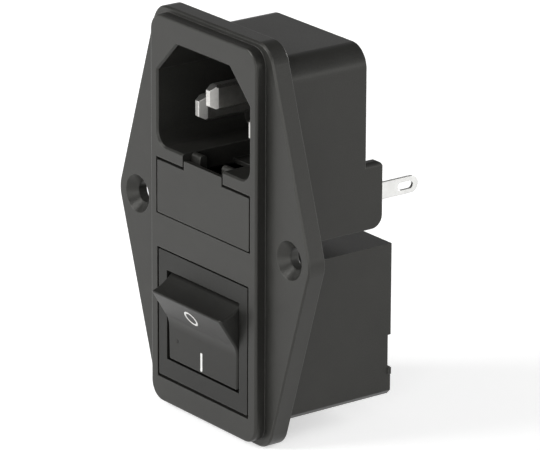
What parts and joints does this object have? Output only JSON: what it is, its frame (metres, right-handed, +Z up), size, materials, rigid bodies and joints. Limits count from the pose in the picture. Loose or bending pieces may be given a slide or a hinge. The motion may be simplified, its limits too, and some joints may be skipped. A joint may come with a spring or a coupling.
{
  "type": "power entry module",
  "caption": "Panel-mounted power entry module: appliance inlet with flat pins, sliding fuse drawer with glass fuses, and a rocker switch in a black screw-fixed housing.",
  "frame": {"origin": "midway between the two screw holes, on the plane of the flange's rear face, where the panel lies", "axes": "+X to the right seen from the front, +Y into the panel, +Z up towards the inlet"},
  "size_m": [0.05, 0.037, 0.0654],
  "materials": {
    "housing_plastic": "fine satin moulded thermoplastic, nearly black",
    "switch_plastic": "fine satin moulded thermoplastic, nearly black",
    "rocker_plastic": "fine satin moulded thermoplastic, nearly black",
    "plunger_plastic": "natural white plastic",
    "nickel_plate": "bright nickel plate on brass",
    "tin_plate": "bright tin plate on brass",
    "brass_strip": "rolled brass strip",
    "contact_silver": "silver contact alloy",
    "fuse_glass": "clear glass tube",
    "fuse_cap_metal": "nickel-plated cap",
    "fuse_wire_metal": "tinned wire",
    "spring_steel": "hard drawn spring wire"
  },
  "bodies": {
    "housing": {"main_housing": "housing_plastic", "inlet_rear_cover": "housing_plastic", "earth_pin": "nickel_plate", "switch_frame": "switch_plastic", "switch_base": "switch_plastic", "line_pin": "nickel_plate", "line_link": "brass_strip", "line_fuse_contact": "tin_plate", "line_common_terminal": "tin_plate", "line_switched_terminal": "tin_plate", "line_fixed_contact": "contact_silver", "neutral_pin": "nickel_plate", "neutral_link": "brass_strip", "neutral_fuse_contact": "tin_plate", "neutral_common_terminal": "tin_plate", "neutral_switched_terminal": "tin_plate", "neutral_fixed_contact": "contact_silver"},
    "drawer": {"fuse_drawer": "housing_plastic", "line_fuse_glass": "fuse_glass", "line_fuse_front_cap": "fuse_cap_metal", "line_fuse_rear_cap": "fuse_cap_metal", "line_fuse_wire": "fuse_wire_metal", "neutral_fuse_glass": "fuse_glass", "neutral_fuse_front_cap": "fuse_cap_metal", "neutral_fuse_rear_cap": "fuse_cap_metal", "neutral_fuse_wire": "fuse_wire_metal"},
    "rocker": {"rocker": "rocker_plastic", "line_plunger_spring": "spring_steel", "neutral_plunger_spring": "spring_steel"},
    "line_plunger": {"line_plunger": "plunger_plastic"},
    "line_blade": {"line_contact_blade": "brass_strip", "line_blade_contact": "contact_silver"},
    "neutral_plunger": {"neutral_plunger": "plunger_plastic"},
    "neutral_blade": {"neutral_contact_blade": "brass_strip", "neutral_blade_contact": "contact_silver"}
  },
  "joints": [
    {"name": "drawer_slide", "type": "slide", "parent": "housing", "child": "drawer", "axis": [0, -1, 0], "range_m": [0, 0.022]},
    {"name": "rocker_tilt", "type": "hinge", "parent": "housing", "child": "rocker", "pos_m": [0, -0.00252, -0.01692], "axis": [1, 0, 0], "range_deg": [-32, 0]},
    {"name": "line_blade_rock", "type": "hinge", "parent": "housing", "child": "line_blade", "pos_m": [0, 0.00828, -0.01692], "axis": [1, 0, 0], "range_deg": [0, 12]},
    {"name": "line_plunger_slide", "type": "slide", "parent": "rocker", "child": "line_plunger", "axis": [0, 0.9613, 0.2756], "range_m": [-0.0008, 0], "stiffness_N_per_m": 300, "deforming": ["line_plunger_spring"]},
    {"name": "neutral_blade_rock", "type": "hinge", "parent": "housing", "child": "neutral_blade", "pos_m": [0, 0.00828, -0.01692], "axis": [1, 0, 0], "range_deg": [0, 12]},
    {"name": "neutral_plunger_slide", "type": "slide", "parent": "rocker", "child": "neutral_plunger", "axis": [0, 0.9613, 0.2756], "range_m": [-0.0008, 0], "stiffness_N_per_m": 300, "deforming": ["neutral_plunger_spring"]}
  ],
  "couplings": [
    {"joint": "line_blade_rock", "follows": "rocker_tilt", "ratio": -0.372},
    {"joint": "neutral_blade_rock", "follows": "rocker_tilt", "ratio": -0.372}
  ]
}
